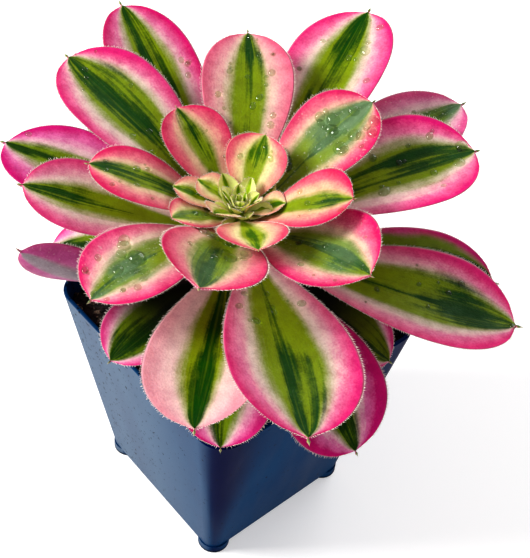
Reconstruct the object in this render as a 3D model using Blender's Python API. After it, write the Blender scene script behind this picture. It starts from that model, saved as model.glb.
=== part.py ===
"""Potted aeonium: a leaning rosette of fleshy leaves on a short stem, in a square nursery pot.

Lengths are millimetres and angles degrees until a mesh is made, which is in metres.
The origin is the middle of the pot's base, with the pot's sides along X and Y. Headings
turn from +X towards +Y, and the rosette leans over the pot's +X -Y corner.
"""
import math

import bmesh
import bpy
import numpy as np
from mathutils import Vector, noise
from mathutils.bvhtree import BVHTree

MM = 0.001
GAP = 0.3                    # clearance between two pieces that touch

# Pot
POT_HEIGHT = 90.0
POT_TOP = 92.8               # side of the square at the rim
POT_BASE = 66.0              # side of the square at the floor
POT_WALL = 1.5
POT_FLOOR = 2.0
CORNER_TOP = 9.5             # radius of the upright corners at the rim
CORNER_BASE = 5.0
CORNER_STEPS = 9             # facets round one corner
SIDE_STEPS = 5               # lengths along one straight side
FOOT_HEIGHT = 2.6
FOOT_RADIUS = 6.0
FOOT_INSET = 5.2             # from the floor's corner lines to the foot's middle
PAD_RADIUS = 11.0            # round pad at the middle of the base, level with the feet
DRAIN_RADIUS = 4.0
DRAIN_REACH = 21.0           # from the middle to each drain hole

# Soil
SOIL_TOP = 83.0
SOIL_BUMP = 1.2
SOIL_RINGS = 7               # rings across the surface, from the wall to the stem
ROOT_DEPTH = 22.0            # how far the stem goes down into the soil

# Stem: upright from the soil, then leaning along the rosette's axis
STEM_FOOT = (0.5, -1.5)
STEM_RADIUS = 8.0
BUD_RADIUS = 1.2
BUD = (5.2, -8.2, 144.9)     # the growing point
LEAN = 14.0                  # of the rosette's axis from upright
LEAN_HEADING = -45.0
CROWN_LENGTH = 34.0          # of the stem that carries leaves

# Leaves, counted from the youngest at the growing point to the oldest underneath
YOUNGEST = -3                # leaf ages run from the growing point down
OLDEST = 36
FIRST_FULL, FIRST_OLD = 8, 24  # ages at which a leaf takes the next finish
GOLDEN_ANGLE = 137.508
FIRST_HEADING = 12.0
DEPTH_BY_AGE = ((-3, 0.6), (0, 1.8), (6, 6.3), (36, 31.8))    # under the growing point
LENGTH_BY_AGE = ((-3, 5), (0, 10), (3, 19), (6, 34), (9, 46), (12, 58), (15, 72), (18, 82), (36, 74))
RISE_BY_AGE = ((-3, 78), (0, 74), (6, 66), (12, 44), (18, 29), (26, 12), (36, -6))
BEND = -24.0                 # from the pitch at the base to the pitch at the tip
SLENDER = 0.5                # width to length
THICKNESS = 2.6              # of a full-grown leaf at its middle
CUP = 0.2                    # how far the margins stand up, to half the width
WIDEST = 0.68                # place of the widest part along the leaf
FULL_GROWN = 60.0            # length from which a leaf has its full thickness
NECK = 0.16                  # width at the attachment, to the greatest width
MUCRO = 0.96                 # where the small point at the tip begins
POINT_WIDTH = 0.07           # of that small point, to the greatest width
SHOULDER = 2.3               # higher keeps a leaf broad for longer past its widest part
BLUNTNESS = 0.62             # lower gives a leaf a rounder end
NECK_FLESH = 1.25            # thickness at the attachment, to the thickness at the middle
TIP_FLESH = 0.5              # and at the tip

# Places along a leaf where it has a ring of points, and the ring itself: each point's
# place across, in half widths, and its height over the midrib, in thicknesses
STATIONS = (0.0, 0.1, 0.2, 0.3, 0.4, 0.5, 0.6, 0.68, 0.76, 0.82, 0.87, 0.905, 0.932, 0.95, 0.96, 1.0)
SECTION = ((-1, 0), (-.55, .22), (0, .3), (.55, .22), (1, 0), (.6, -.52), (0, -.7), (-.6, -.52))
FINE_STEPS = 4               # steps between two rings when the midrib's bend is followed

# How single leaves differ from the rule: turn and lift are added to heading and rise
HABIT = {
    -2: dict(turn=50, lift=-6),
    1: dict(turn=52, lift=-44, length=1.1, slender=0.8),
    2: dict(lift=-8, slender=0.7),
    3: dict(turn=-24, lift=-24, length=0.72, slender=0.8),
    4: dict(turn=22, lift=-22, length=0.84, slender=0.6),
    5: dict(turn=-10, lift=-14, length=1.1, slender=0.66),
    6: dict(lift=-12, length=0.76, slender=0.78),
    7: dict(turn=8, lift=-14, length=0.64, slender=0.62),
    8: dict(turn=-2, lift=-2, length=0.94, slender=0.58, twist=15),
    9: dict(turn=8, lift=-14, length=0.86, slender=0.58),
    10: dict(length=1.04, slender=0.6, twist=-12),
    11: dict(turn=-4, lift=-8, twist=11, sway=5, length=1.03),
    12: dict(turn=4, lift=-4, bend=-32, length=0.84, slender=0.5, cup=0.1),
    13: dict(turn=6, length=0.84, slender=0.62, twist=14, cup=0.3),
    14: dict(bend=-30, sway=6, length=0.97, slender=0.46),
    15: dict(turn=-2, lift=4, bend=-40, length=0.82, sway=8),
    16: dict(turn=13, lift=-12, twist=6, sway=4, length=1.06),
    17: dict(turn=3, lift=-1, bend=-28, twist=-8, sway=-2, slender=0.43),
    18: dict(turn=11, lift=-7, bend=-16, twist=-12, sway=-9, length=0.98),
    19: dict(turn=1, twist=-12, sway=10, length=1.12, slender=0.39),
    20: dict(turn=-12, lift=-9, bend=2, slender=0.50, length=0.82, cup=0.15),
    21: dict(turn=6.5, lift=-18, bend=-10, length=1.12, slender=0.43, twist=2, sway=18),
    22: dict(turn=14, lift=4, bend=-10, length=1.12, slender=0.34),
    23: dict(turn=15, lift=2, bend=-14, twist=12, sway=5, length=0.9),
    24: dict(turn=10, lift=0, bend=-12, length=1.12, slender=0.38),
    25: dict(turn=-1, lift=-3, bend=-14, cup=0.1, length=1.04, slender=0.43),
    26: dict(turn=7, lift=-15, bend=-34, length=0.94, twist=12, sway=7),
    28: dict(turn=-5, lift=-14, bend=58, twist=92, sway=-18, length=0.9, slender=0.29),
    29: dict(turn=7, lift=-2, bend=-8, length=1.06, slender=0.42),
    30: dict(turn=7, length=0.95),
    31: dict(turn=3, bend=-24, length=0.8),
    33: dict(turn=-12, lift=-6, length=0.84),
    34: dict(turn=16, lift=6, bend=-16, length=0.74),
    36: dict(turn=-6, lift=14, bend=-14, length=0.67, slender=0.52),
}

MOST_CHANGE = 30             # degrees a leaf may be raised or lowered to clear the others

# Colour, roughness and metallic value of each material
FINISHES = {
    "pot_plastic": ((0.17, 0.24, 0.33), 0.42, 0.0),
    "potting_soil": ((0.012, 0.010, 0.009), 0.95, 0.0),
    "stem_bark": ((0.20, 0.22, 0.10), 0.70, 0.0),
    "old_leaf": ((0.62, 0.08, 0.22), 0.40, 0.0),
    "full_leaf": ((0.72, 0.16, 0.27), 0.36, 0.0),
    "young_leaf": ((0.74, 0.42, 0.26), 0.36, 0.0),
}


def material(name):
    colour, roughness, metallic = FINISHES[name]
    made = bpy.data.materials.get(name) or bpy.data.materials.new(name)
    made.use_nodes = True
    shader = made.node_tree.nodes["Principled BSDF"]
    shader.inputs["Base Color"].default_value = (*colour, 1.0)
    shader.inputs["Roughness"].default_value = roughness
    shader.inputs["Metallic"].default_value = metallic
    made.diffuse_color = (*colour, 1.0)
    return made


def solid(name, rings, finish, smooth=True):
    """One object from rings of points; a ring of one point closes an end."""
    bm = bmesh.new()
    loops = [[bm.verts.new(Vector(p) * MM) for p in ring] for ring in rings]
    for low, high in zip(loops, loops[1:]):
        count = max(len(low), len(high))
        for i in range(count):
            j = (i + 1) % count
            if len(high) == 1:
                bm.faces.new((low[i], low[j], high[0]))
            elif len(low) == 1:
                bm.faces.new((low[0], high[j], high[i]))
            else:
                bm.faces.new((low[i], low[j], high[j], high[i]))
    for end in (loops[0], loops[-1]):
        if len(end) > 1:
            bm.faces.new(end)
    bmesh.ops.triangulate(bm, faces=bm.faces[:])
    bmesh.ops.recalc_face_normals(bm, faces=bm.faces[:])
    mesh = bpy.data.meshes.new(name)
    bm.to_mesh(mesh)
    bm.free()
    mesh.materials.append(material(finish))
    if smooth:
        mesh.shade_smooth()
        mesh.set_sharp_from_angle(angle=math.radians(40))
    made = bpy.data.objects.new(name, mesh)
    bpy.context.scene.collection.objects.link(made)
    return made


def cylinder(name, x, y, low, high, radius, steps=24):
    angles = [2 * math.pi * i / steps for i in range(steps)]
    rings = [[(x + radius * math.cos(a), y + radius * math.sin(a), z) for a in angles] for z in (low, high)]
    return solid(name, rings, "pot_plastic", smooth=False)


def join_in(target, tool, operation):
    """Unites the tool with the target or cuts it out, and removes the tool."""
    cut = target.modifiers.new(tool.name, "BOOLEAN")
    cut.operation = operation
    cut.object = tool
    with bpy.context.temp_override(object=target):
        bpy.ops.object.modifier_apply(modifier=cut.name)
    bpy.data.objects.remove(tool)


# ---------------------------------------------------------------- pot and soil
def rounded_square(half, radius, z):
    """Points round a square with round corners, some of them along its straight sides."""
    ring = []
    reach = half - radius
    for corner in range(4):
        start = math.radians(90 * corner)
        cx = math.copysign(reach, math.cos(start + math.pi / 4))
        cy = math.copysign(reach, math.sin(start + math.pi / 4))
        for i in range(CORNER_STEPS + 1):
            angle = start + math.radians(90 * i / CORNER_STEPS)
            x, y = cx + radius * math.cos(angle), cy + radius * math.sin(angle)
            ring.append((x, y, z))
        for i in range(1, SIDE_STEPS):
            run = 2 * reach * i / SIDE_STEPS
            ring.append((x - run * math.cos(start), y - run * math.sin(start), z))
    return ring


def pot_ring(z, inset=0.0):
    """The pot's outline at a height, or the same outline moved inwards."""
    share = (z - FOOT_HEIGHT) / (POT_HEIGHT - FOOT_HEIGHT)
    half = (POT_BASE + (POT_TOP - POT_BASE) * share) / 2
    radius = CORNER_BASE + (CORNER_TOP - CORNER_BASE) * share
    return rounded_square(half - inset, max(radius - inset, 1.0), z)


def make_pot():
    floor_top = FOOT_HEIGHT + POT_FLOOR
    rings = [
        pot_ring(FOOT_HEIGHT, inset=0.8),
        pot_ring(FOOT_HEIGHT + 0.8),
        pot_ring(POT_HEIGHT - 0.4),
        pot_ring(POT_HEIGHT, inset=0.4),
        pot_ring(POT_HEIGHT, inset=POT_WALL - 0.3),
        pot_ring(POT_HEIGHT - 0.5, inset=POT_WALL),
        pot_ring(floor_top, inset=POT_WALL),
    ]
    pot = solid("pot", rings, "pot_plastic")
    reach = POT_BASE / 2 - FOOT_INSET
    for number, (sx, sy) in enumerate(((1, 1), (-1, 1), (-1, -1), (1, -1))):
        foot = cylinder(f"foot_{number}", sx * reach, sy * reach, 0.0, FOOT_HEIGHT + 1.0, FOOT_RADIUS)
        join_in(pot, foot, "UNION")
    join_in(pot, cylinder("pad", 0, 0, 0.0, FOOT_HEIGHT + 1.0, PAD_RADIUS, 32), "UNION")
    for number in range(4):
        angle = math.radians(90 * number)
        x, y = DRAIN_REACH * math.cos(angle), DRAIN_REACH * math.sin(angle)
        drain = cylinder(f"drain_{number}", x, y, -1.0, floor_top + 2.0, DRAIN_RADIUS)
        join_in(pot, drain, "DIFFERENCE")
    return pot


def make_soil():
    """A block that fills the pot, with an uneven top and a socket round the stem."""
    bottom = FOOT_HEIGHT + POT_FLOOR + GAP
    inset = POT_WALL + GAP
    edge = pot_ring(SOIL_TOP, inset)
    hole = STEM_RADIUS + GAP
    angles = [math.atan2(y, x) for x, y, _ in edge]
    socket = [(STEM_FOOT[0] + hole * math.cos(a), STEM_FOOT[1] + hole * math.sin(a)) for a in angles]
    rings = [pot_ring(bottom, inset), edge]
    for step in range(1, SOIL_RINGS + 1):
        share = step / SOIL_RINGS
        ring = []
        for (ex, ey, _), (sx, sy) in zip(edge, socket):
            x, y = ex + (sx - ex) * share, ey + (sy - ey) * share
            bump = SOIL_BUMP * noise.noise(Vector((x, y, 0)) * 0.11)
            ring.append((x, y, SOIL_TOP + bump))
        rings.append(ring)
    rings.append([(x, y, SOIL_TOP - ROOT_DEPTH - GAP) for x, y in socket])
    return solid("soil", rings, "potting_soil", smooth=False)


# ---------------------------------------------------------------- stem
def axis_direction():
    lean, heading = math.radians(LEAN), math.radians(LEAN_HEADING)
    return np.array((math.sin(lean) * math.cos(heading), math.sin(lean) * math.sin(heading), math.cos(lean)))


def crown_point(depth):
    """The point of the rosette's axis this far under the growing point."""
    return np.array(BUD) - axis_direction() * depth


def stem_radius(depth):
    """Blunt at the growing point, and full below it."""
    share = min(depth / CROWN_LENGTH, 1.0)
    return BUD_RADIUS + (STEM_RADIUS - BUD_RADIUS) * share ** 0.85


def make_stem():
    crown = crown_point(CROWN_LENGTH)
    foot = np.array((*STEM_FOOT, SOIL_TOP - ROOT_DEPTH))
    collar = np.array((*STEM_FOOT, SOIL_TOP + 3.0))
    path = [(foot, STEM_RADIUS), (collar, STEM_RADIUS)]
    path.append(((collar + crown) / 2 - np.array((0.3, -0.3, 0.0)), STEM_RADIUS))
    for depth in np.linspace(CROWN_LENGTH, 0.0, 10):
        path.append((crown_point(depth), stem_radius(depth)))
    angles = [2 * math.pi * i / 16 for i in range(16)]
    around = [np.array((math.cos(a), math.sin(a), 0.0)) for a in angles]
    rings = [[tuple(place + radius * way) for way in around] for place, radius in path]
    rings.append([tuple(crown_point(-0.8))])
    return solid("stem", rings, "stem_bark")


# ---------------------------------------------------------------- leaves
def by_age(table, age):
    ages, values = zip(*table)
    return float(np.interp(age, ages, values))


def outline(s):
    """Half width along the leaf: a narrow neck, a broad blade and a small point."""
    if s < WIDEST:
        rise = 0.5 - 0.5 * math.cos(math.pi * s / WIDEST)
        return NECK + (1 - NECK) * rise ** 0.9
    if s < MUCRO:
        t = (s - WIDEST) / (MUCRO - WIDEST)
        return POINT_WIDTH + (1 - POINT_WIDTH) * (1 - t ** SHOULDER) ** BLUNTNESS
    return POINT_WIDTH * (1 - s) / (1 - MUCRO)


def thickness(s):
    """Fleshy at the attachment, thin towards the tip."""
    return NECK_FLESH + (TIP_FLESH - NECK_FLESH) * s


def leaf_rings(age, drop, reach, swell=0.0):
    """Rings of eight points from the attachment to the tip, and the tip itself.

    drop lowers the whole leaf by degrees, reach is where it starts from the rosette's
    axis, and swell thickens it all round.
    """
    habit = HABIT.get(age, {})
    length = by_age(LENGTH_BY_AGE, age) * habit.get("length", 1.0)
    half = length * habit.get("slender", SLENDER) / 2
    flesh = THICKNESS * min(length / FULL_GROWN, 1.0)
    heading = FIRST_HEADING + GOLDEN_ANGLE * age + habit.get("turn", 0)
    upright = LEAN * math.cos(math.radians(heading - LEAN_HEADING))
    rise = by_age(RISE_BY_AGE, age) - upright + habit.get("lift", 0) - drop
    cup = habit.get("cup", CUP)

    def direction(s):
        pitch = math.radians(rise + habit.get("bend", BEND) * s)
        turned = math.radians(heading + habit.get("sway", 0) * s)
        along = (math.cos(pitch) * math.cos(turned), math.cos(pitch) * math.sin(turned), math.sin(pitch))
        return np.array(along), np.array((-math.sin(turned), math.cos(turned), 0.0))

    start = math.radians(heading)
    place = crown_point(by_age(DEPTH_BY_AGE, age))
    place = place + reach * np.array((math.cos(start), math.sin(start), 0.0))
    rings = []
    before = 0.0
    for s in (STATIONS if age > 4 else STATIONS[:-2:2] + STATIONS[-1:]):
        for part in range(FINE_STEPS):
            middle = before + (s - before) * (part + 0.5) / FINE_STEPS
            place = place + direction(middle)[0] * length * (s - before) / FINE_STEPS
        before = s
        along, side = direction(s)
        if s == 1.0:
            rings.append([tuple(place + along * swell)])
            break
        up = np.cross(along, side)
        roll = math.radians(habit.get("twist", 0) * (0.3 + 0.7 * s))
        across = side * math.cos(roll) + up * math.sin(roll)
        above = up * math.cos(roll) - side * math.sin(roll)
        w = half * outline(s) + swell
        ring = []
        for v, share in SECTION:
            lift = cup * w * abs(v) ** 1.6 + share * flesh * thickness(s)
            lift += math.copysign(swell, share) * (share != 0)
            ring.append(tuple(place + across * w * v + above * lift))
        rings.append(ring)
    return rings


def seat_on_stem(age, drop, stem):
    """How far from the axis a leaf starts, for its end to lie the gap off the stem."""
    reach = STEM_RADIUS * 2
    for _ in range(8):
        end = np.array(leaf_rings(age, drop, reach)[0])
        middle = end.mean(axis=0)
        probes = [*end, *((end + middle) / 2), middle]
        reach -= min(stem.find_nearest(Vector(p))[3] for p in probes) - GAP
    return reach


def surface(rings):
    """A collision tree of a leaf's surface."""
    points = [p for ring in rings for p in ring]
    faces, first = [], 0
    for low, high in zip(rings, rings[1:]):
        count = len(low)
        for i in range(count):
            j = (i + 1) % count
            if len(high) == 1:
                faces.append((first + i, first + j, first + count))
            else:
                faces.append((first + i, first + j, first + count + j))
                faces.append((first + i, first + count + j, first + count + i))
        first += count
    return BVHTree.FromPolygons(points, faces)


def tree_of(item):
    points = [tuple(vertex.co / MM) for vertex in item.data.vertices]
    return BVHTree.FromPolygons(points, [tuple(face.vertices) for face in item.data.polygons])


def settle(age, stem, others):
    """The smallest change of pitch at which a leaf clears all that is in place."""
    for step in range(2 * MOST_CHANGE + 1):
        drop = (step + 1) // 2 * (1 if step % 2 else -1)
        reach = seat_on_stem(age, drop, stem)
        swollen = surface(leaf_rings(age, drop, reach, swell=GAP))
        if surface(leaf_rings(age, drop, reach)).overlap(stem):
            continue
        if not any(swollen.overlap(other) for other in others):
            return drop, reach
    raise ValueError(f"leaf of age {age} finds no room")


def make_leaves(pot, soil, stem):
    stem = tree_of(stem)
    others = [tree_of(pot), tree_of(soil)]
    for age in range(YOUNGEST, OLDEST + 1):
        drop, reach = settle(age, stem, others)
        print("leaf", age + 1 - YOUNGEST, "age", age, "drop", drop, round(reach, 2))
        rings = leaf_rings(age, drop, reach)
        others.append(surface(rings))
        finish = "young_leaf" if age < FIRST_FULL else "full_leaf" if age < FIRST_OLD else "old_leaf"
        solid(f"leaf_{age + 1 - YOUNGEST:02d}", rings, finish)


def main():
    for item in list(bpy.data.objects):
        bpy.data.objects.remove(item)
    pot = make_pot()
    soil = make_soil()
    stem = make_stem()
    make_leaves(pot, soil, stem)


main()
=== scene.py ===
import math
import random

import bmesh
import bpy
import numpy as np
from mathutils import Matrix, Vector
from mathutils.bvhtree import BVHTree


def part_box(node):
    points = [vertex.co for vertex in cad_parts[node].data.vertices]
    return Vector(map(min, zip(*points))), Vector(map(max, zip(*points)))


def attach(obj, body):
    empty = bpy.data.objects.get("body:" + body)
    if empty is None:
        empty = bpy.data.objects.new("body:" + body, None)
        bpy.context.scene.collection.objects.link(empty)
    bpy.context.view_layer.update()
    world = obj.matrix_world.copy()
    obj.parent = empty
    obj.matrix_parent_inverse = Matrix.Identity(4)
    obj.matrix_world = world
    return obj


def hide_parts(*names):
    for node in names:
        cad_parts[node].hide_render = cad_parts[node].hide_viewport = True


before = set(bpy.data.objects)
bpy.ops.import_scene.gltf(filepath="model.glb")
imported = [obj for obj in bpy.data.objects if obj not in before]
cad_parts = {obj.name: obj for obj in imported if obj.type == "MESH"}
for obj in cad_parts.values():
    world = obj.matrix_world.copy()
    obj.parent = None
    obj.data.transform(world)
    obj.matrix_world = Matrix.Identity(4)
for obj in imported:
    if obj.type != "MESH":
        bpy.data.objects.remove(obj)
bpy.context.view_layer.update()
print("frame loaded:", len(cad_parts), "nodes")


def tint(red, green, blue):  # screen values 0-255 to a scene colour
    channels = [value / 255 for value in (red, green, blue)]
    return (*[c / 12.92 if c <= 0.04045 else ((c + 0.055) / 1.055) ** 2.4 for c in channels], 1.0)


def feed(tree, value, socket):  # a link from a socket, or a plain value
    if isinstance(value, bpy.types.NodeSocket):
        tree.links.new(value, socket)
    else:
        socket.default_value = value


def sumNode(tree, operation, *values, clamp=False):
    node = tree.nodes.new("ShaderNodeMath")
    node.operation, node.use_clamp = operation, clamp
    for value, socket in zip(values, node.inputs):
        feed(tree, value, socket)
    return node.outputs[0]


def times(tree, first, second, clamp=False):
    return sumNode(tree, "MULTIPLY", first, second, clamp=clamp)


def plus(tree, first, second):
    return sumNode(tree, "ADD", first, second)


def minus(tree, first, second):
    return sumNode(tree, "SUBTRACT", first, second)


def addScaled(tree, value, factor, rest):  # value times factor, plus the rest
    return sumNode(tree, "MULTIPLY_ADD", value, factor, rest)


def ramp(tree, value, low, high, start=0.0, end=1.0):  # smooth step between the places low and high
    node = tree.nodes.new("ShaderNodeMapRange")
    node.interpolation_type = "SMOOTHSTEP"
    for name, given in (("Value", value), ("From Min", low), ("From Max", high),
                        ("To Min", start), ("To Max", end)):
        feed(tree, given, node.inputs[name])
    return node.outputs["Result"]


def blendColours(tree, share, first, second, mode="MIX"):
    node = tree.nodes.new("ShaderNodeMix")
    node.data_type, node.blend_type, node.clamp_factor = "RGBA", mode, True
    feed(tree, share, node.inputs[0])
    feed(tree, first, node.inputs[6])
    feed(tree, second, node.inputs[7])
    return node.outputs[2]


def joinVector(tree, x, y, z):
    node = tree.nodes.new("ShaderNodeCombineXYZ")
    for value, socket in zip((x, y, z), node.inputs):
        feed(tree, value, socket)
    return node.outputs[0]


def noise(tree, vector, scale, detail=2.0, rough=0.5):
    node = tree.nodes.new("ShaderNodeTexNoise")
    feed(tree, vector, node.inputs["Vector"])
    feed(tree, scale, node.inputs["Scale"])
    node.inputs["Detail"].default_value, node.inputs["Roughness"].default_value = detail, rough
    return node.outputs[0]


def readAttribute(tree, name):
    node = tree.nodes.new("ShaderNodeAttribute")
    node.attribute_name = name
    return node.outputs["Fac"]


def newGroup(name, inputs, outputs):  # a shader node group with named sockets
    group = bpy.data.node_groups.new(name, "ShaderNodeTree")
    kinds = {float: "NodeSocketFloat", tuple: "NodeSocketColor", str: "NodeSocketVector"}
    for label, value in inputs.items():
        socket = group.interface.new_socket(label, in_out="INPUT", socket_type=kinds[type(value)])
        if not isinstance(value, str):
            socket.default_value = value
    for label, value in outputs.items():
        group.interface.new_socket(label, in_out="OUTPUT", socket_type=kinds[type(value)])
    return group, group.nodes.new("NodeGroupInput").outputs, group.nodes.new("NodeGroupOutput").inputs


def useGroup(tree, group, **values):  # underscores in a value's name stand for spaces
    node = tree.nodes.new("ShaderNodeGroup")
    node.node_tree = group
    for name, value in values.items():
        feed(tree, value, node.inputs[name.replace("_", " ")])
    return node.outputs


def newMaterial(name, **values):
    material = bpy.data.materials.new(name)
    material.use_nodes = True
    tree = material.node_tree
    shader = tree.nodes["Principled BSDF"]
    for label, value in values.items():
        feed(tree, value, shader.inputs[label.replace("_", " ")])
    return material, tree, shader


def objectPlace(tree):
    return tree.nodes.new("ShaderNodeTexCoord").outputs["Object"]


def addBump(tree, shader, height, strength, distance):
    node = tree.nodes.new("ShaderNodeBump")
    feed(tree, height, node.inputs["Height"])
    node.inputs["Strength"].default_value = strength
    node.inputs["Distance"].default_value = distance
    tree.links.new(node.outputs[0], shader.inputs["Normal"])


white = (1.0, 1.0, 1.0, 1.0)

# fine grain: two sizes of speck on one surface
fineGrain, given, made = newGroup("fineGrain", {"Vector": "", "Scale": 1500.0, "Mottle": 260.0},
                                  {"Grain": 0.0, "Mottle": 0.0})
for label, scale, detail, rough in (("Grain", given["Scale"], 3.0, 0.6),
                                    ("Mottle", given["Mottle"], 4.0, 0.55)):
    feed(fineGrain, noise(fineGrain, given["Vector"], scale, detail, rough), made[label])

# streaks that run the length of a leaf: how many across, how many along, and their detail
streakKinds = {"Broad": (5.0, 1.1, 3.0), "Veins": (17.0, 2.0, 3.0), "Wander": (1.3, 3.2, 2.0)}
leafStreaks, given, made = newGroup("leafStreaks", {"Along": 0.0, "Across": 0.0, "Seed": 0.0},
                                    dict.fromkeys(streakKinds, 0.0))
for label, (count, stretch, detail) in streakKinds.items():
    place = joinVector(leafStreaks, times(leafStreaks, given["Across"], count),
                       times(leafStreaks, given["Along"], stretch), given["Seed"])
    feed(leafStreaks, noise(leafStreaks, place, 1.0, detail), made[label])

# the bands of a leaf; a ramp is given as from, to, and what it gives at those two places
bandShape = {
    "stemWaist": (0.0, 0.45, 0.75, 1.0), "tipWaist": (0.66, 0.96, 1.0, 0.68),  # the stripe's width
    "pointCover": (0.955, 0.985, 1.0, 3.4),
    "edgeStreaks": 0.26, "edgeSpeckle": 0.16, "softEdge": (-0.15, 0.12),
    "coreShare": 0.3, "coreVeins": 0.6, "coreStreaks": 1.1, "coreSpeckle": 0.3,  # the deep green
    "coreGrowth": (0.3, 0.95, -0.14, 0.12), "softCore": (-0.14, 0.16),
    "oliveVeins": (0.5, 0.75, 0.0, 0.3),
    "hazePatches": (0.34, 0.56, 0.25, 1.0), "hazeStreaks": (0.3, 0.6, 0.45, 1.0),
    "hazeGrowth": (0.4, 0.78, 0.3, 1.0),
    "paleStem": (0.12, 0.7, 0.4, 1.0), "pinkTip": (0.6, 1.0, 0.0, 0.2), "pinkSpeckle": 0.55,
    "flushStreaks": 0.5, "softFlush": (0.06, 0.66), "marginWander": 0.55, "softMargin": (0.42, 1.04),
    "leastBlush": 0.45, "mauveEdge": (0.15, 0.7, 0.4, 1.0),
    "underShare": 0.75, "keelStreaks": 0.5, "keelEdge": (0.12, 0.42, 0.85, 0.0),
    "duskFade": (0.45, 0.95, 1.0, 0.0), "rimEdge": (0.984, 0.998, 0.0, 0.7),
    "pointEdge": (0.968, 0.992, 0.0, 0.55),
}
# the dusk tint is painted shade, laid over the stem end of a lower leaf
bandTints = {"warm": (255, 232, 192), "dusk": (8, 12, 4), "point": (196, 204, 160)}  # screen values

# the bands of a variegated leaf, from the green middle out to the margin
leafBands, given, made = newGroup("leafBands", {
    "Along": 0.0, "Across": 0.0, "Top": 1.0, "Seed": 0.0, "Stripe": 0.4, "Shift": 0.0, "Blush": 0.5,
    "Bloom": 0.0, "Mauve": 0.0, "Dusk": 0.0, "Warm": 0.0, "Speckle": 0.0,
    **dict.fromkeys(("Deep Green", "Olive", "Body", "Flush", "Margin", "Rim", "Glaucous", "Mauve Tint",
                     "Underside", "Keel"), white),
    }, {"Color": white, "Veins": 0.0})
tree, alongLeaf, speckle = leafBands, given["Along"], given["Speckle"]
streaks = useGroup(tree, leafStreaks, Along=alongLeaf, Across=given["Across"], Seed=given["Seed"])
wander, broad, veins = (minus(tree, streaks[label], 0.5) for label in ("Wander", "Broad", "Veins"))
fromMiddle = sumNode(tree, "ABSOLUTE", minus(tree, given["Across"], given["Shift"]))
fromMargin = sumNode(tree, "ABSOLUTE", given["Across"])
# the stripe is narrower at the stem and towards the tip, and covers the small point there
waist = times(tree, ramp(tree, alongLeaf, *bandShape["stemWaist"]),
              ramp(tree, alongLeaf, *bandShape["tipWaist"]))
waist = times(tree, waist, ramp(tree, alongLeaf, *bandShape["pointCover"]))
half = times(tree, given["Stripe"], waist)
edge = plus(tree, half, times(tree, broad, bandShape["edgeStreaks"]))
edge = plus(tree, edge, addScaled(tree, speckle, bandShape["edgeSpeckle"],
                                  times(tree, wander, bandShape["edgeStreaks"])))
green = ramp(tree, minus(tree, edge, fromMiddle), *bandShape["softEdge"])
# the deep green runs down the middle, in broken streaks, and takes over near the tip
coreEdge = addScaled(tree, half, bandShape["coreShare"], times(tree, veins, bandShape["coreVeins"]))
coreEdge = plus(tree, coreEdge, times(tree, broad, bandShape["coreStreaks"]))
coreEdge = plus(tree, coreEdge, addScaled(tree, speckle, bandShape["coreSpeckle"], wander))
coreEdge = plus(tree, coreEdge, ramp(tree, alongLeaf, *bandShape["coreGrowth"]))
core = ramp(tree, minus(tree, coreEdge, fromMiddle), *bandShape["softCore"])
greens = blendColours(tree, core, given["Olive"], given["Deep Green"])
pale = ramp(tree, streaks["Veins"], *bandShape["oliveVeins"])
greens = blendColours(tree, pale, greens, given["Olive"])
# a grey haze over the green, thicker towards the tip
haze = times(tree, ramp(tree, streaks["Wander"], *bandShape["hazePatches"]),
             ramp(tree, streaks["Broad"], *bandShape["hazeStreaks"]))
haze = times(tree, haze, ramp(tree, alongLeaf, *bandShape["hazeGrowth"]))
greens = blendColours(tree, times(tree, given["Bloom"], haze), greens, given["Glaucous"])
# beyond the stripe: cream, then pink, then the deeper margin
outward = ramp(tree, alongLeaf, *bandShape["paleStem"])
strength = plus(tree, given["Blush"], bandShape["leastBlush"])
beyond = sumNode(tree, "DIVIDE", minus(tree, fromMargin, half), minus(tree, 1.0, half))
beyond = plus(tree, beyond, ramp(tree, alongLeaf, *bandShape["pinkTip"]))
beyond = addScaled(tree, speckle, bandShape["pinkSpeckle"], beyond)
skin = given["Body"]
for colour, uneven, share, softness in (("Flush", broad, "flushStreaks", "softFlush"),
                                        ("Margin", wander, "marginWander", "softMargin")):
    reached = ramp(tree, addScaled(tree, uneven, bandShape[share], beyond), *bandShape[softness])
    reached = times(tree, times(tree, reached, strength), outward, clamp=True)
    skin = blendColours(tree, reached, skin, given[colour])
mauve = times(tree, given["Mauve"], ramp(tree, fromMargin, *bandShape["mauveEdge"]))
skin = blendColours(tree, mauve, skin, given["Mauve Tint"], "MULTIPLY")
skin = blendColours(tree, given["Warm"], skin, tint(*bandTints["warm"]), "MULTIPLY")
skin = blendColours(tree, green, skin, greens)
# the underside is duller, with a grey-green keel
below = minus(tree, 1.0, given["Top"])
skin = blendColours(tree, times(tree, below, bandShape["underShare"]), skin, given["Underside"])
keelEdge = plus(tree, fromMargin, times(tree, broad, bandShape["keelStreaks"]))
keel = ramp(tree, keelEdge, *bandShape["keelEdge"])
skin = blendColours(tree, times(tree, below, keel), skin, given["Keel"])
# painted shade at the stem end of a lower leaf, then the thin rim and the pale point
dusk = times(tree, given["Dusk"], ramp(tree, alongLeaf, *bandShape["duskFade"]))
skin = blendColours(tree, dusk, skin, tint(*bandTints["dusk"]))
skin = blendColours(tree, ramp(tree, fromMargin, *bandShape["rimEdge"]), skin, given["Rim"])
point = ramp(tree, alongLeaf, *bandShape["pointEdge"])
skin = blendColours(tree, point, skin, tint(*bandTints["point"]))
feed(tree, skin, made["Color"])
feed(tree, streaks["Veins"], made["Veins"])
print("shared effects ready")


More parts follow.
